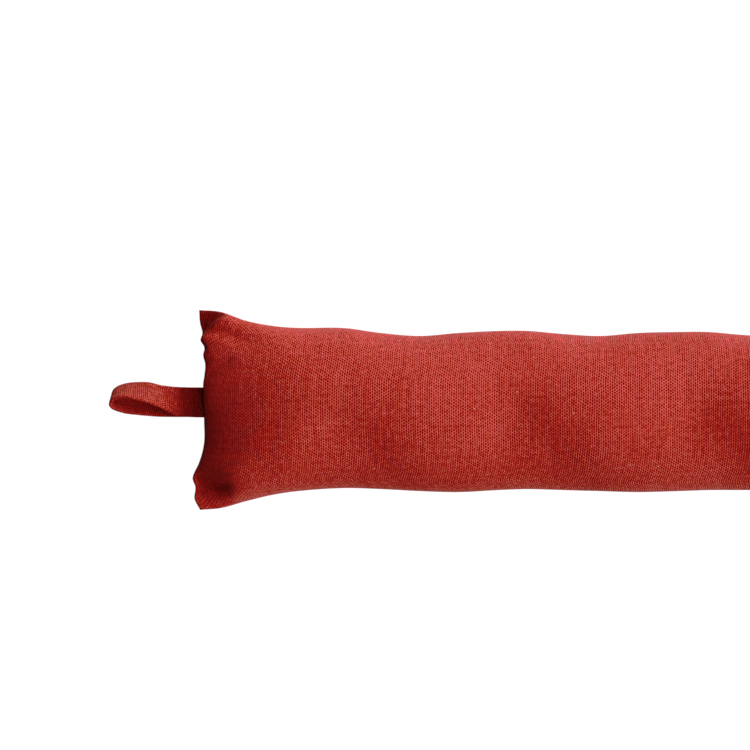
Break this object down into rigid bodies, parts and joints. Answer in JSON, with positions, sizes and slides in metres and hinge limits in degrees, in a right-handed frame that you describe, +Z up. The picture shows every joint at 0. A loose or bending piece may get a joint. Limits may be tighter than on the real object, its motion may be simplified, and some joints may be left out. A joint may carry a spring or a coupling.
{
  "type": "draught excluder",
  "caption": "Long filled cloth tube that lies along the foot of a door to stop draughts, with straight sewn ends, soft ears and a strap loop to hang it by.",
  "frame": {"origin": "on the surface that it lies on, midway along the whole length with the loop, and midway across the width at the end seams", "axes": "+X along the tube, from the hanging loop towards the plain end; +Y across the tube, towards the door; +Z up"},
  "size_m": [0.9973, 0.2, 0.0945],
  "materials": {
    "cover_cloth": "coarse plain weave, matt, brick red",
    "strap_cloth": "the cover's own cloth folded to a flat strap, matt, brick red"
  },
  "bodies": {
    "root": {"cover": "cover_cloth", "hanging_loop": "strap_cloth"}
  },
  "joints": []
}
